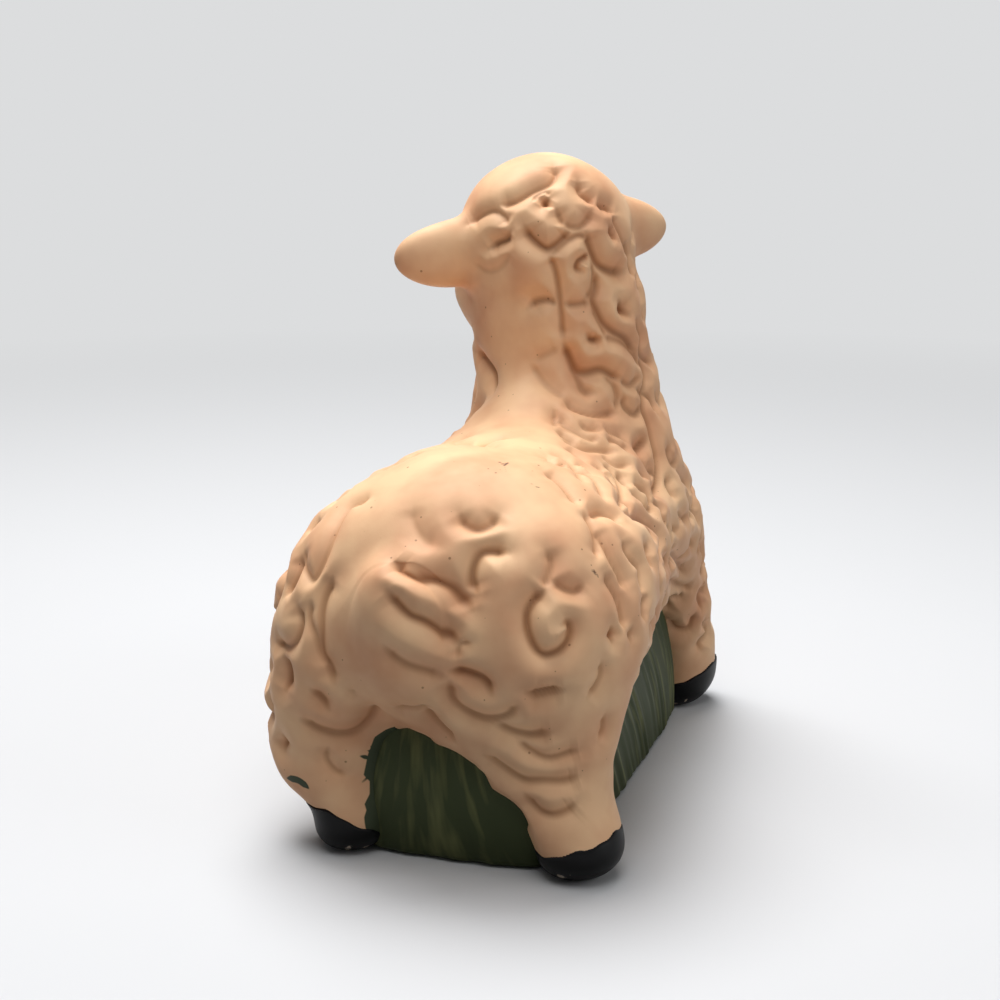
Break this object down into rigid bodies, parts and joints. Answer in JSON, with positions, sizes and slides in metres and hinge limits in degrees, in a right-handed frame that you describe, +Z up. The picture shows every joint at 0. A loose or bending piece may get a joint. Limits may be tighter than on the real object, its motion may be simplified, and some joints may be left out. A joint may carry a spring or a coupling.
{
  "type": "sheep figurine",
  "caption": "Small painted clay sheep with carved wool curls and its head turned back to its left, standing on a block of green grass; rests flat on a shelf.",
  "frame": {"origin": "on the ground, in the middle of the grass block's underside", "axes": "+Z up; the sheep faces -Y and its left side is +X"},
  "size_m": [0.0396, 0.0658, 0.0678],
  "materials": {
    "ivory_bisque": "satin unglazed bisque washed with ivory paint",
    "black_hoof_paint": "semi-gloss black paint on bisque",
    "black_eye_paint": "gloss black paint on bisque",
    "green_grass_paint": "brushed dark green paint on bisque"
  },
  "bodies": {
    "root": {"torso": "ivory_bisque", "tail": "ivory_bisque", "neck": "ivory_bisque", "head": "ivory_bisque", "wool_cap": "ivory_bisque", "muzzle": "ivory_bisque", "left_ear": "ivory_bisque", "right_ear": "ivory_bisque", "rear_left_leg": "ivory_bisque", "rear_right_leg": "ivory_bisque", "front_left_leg": "ivory_bisque", "front_right_leg": "ivory_bisque", "rear_left_hoof": "black_hoof_paint", "rear_right_hoof": "black_hoof_paint", "front_left_hoof": "black_hoof_paint", "front_right_hoof": "black_hoof_paint", "left_eye": "black_eye_paint", "right_eye": "black_eye_paint", "grass_mound": "green_grass_paint"}
  },
  "joints": []
}
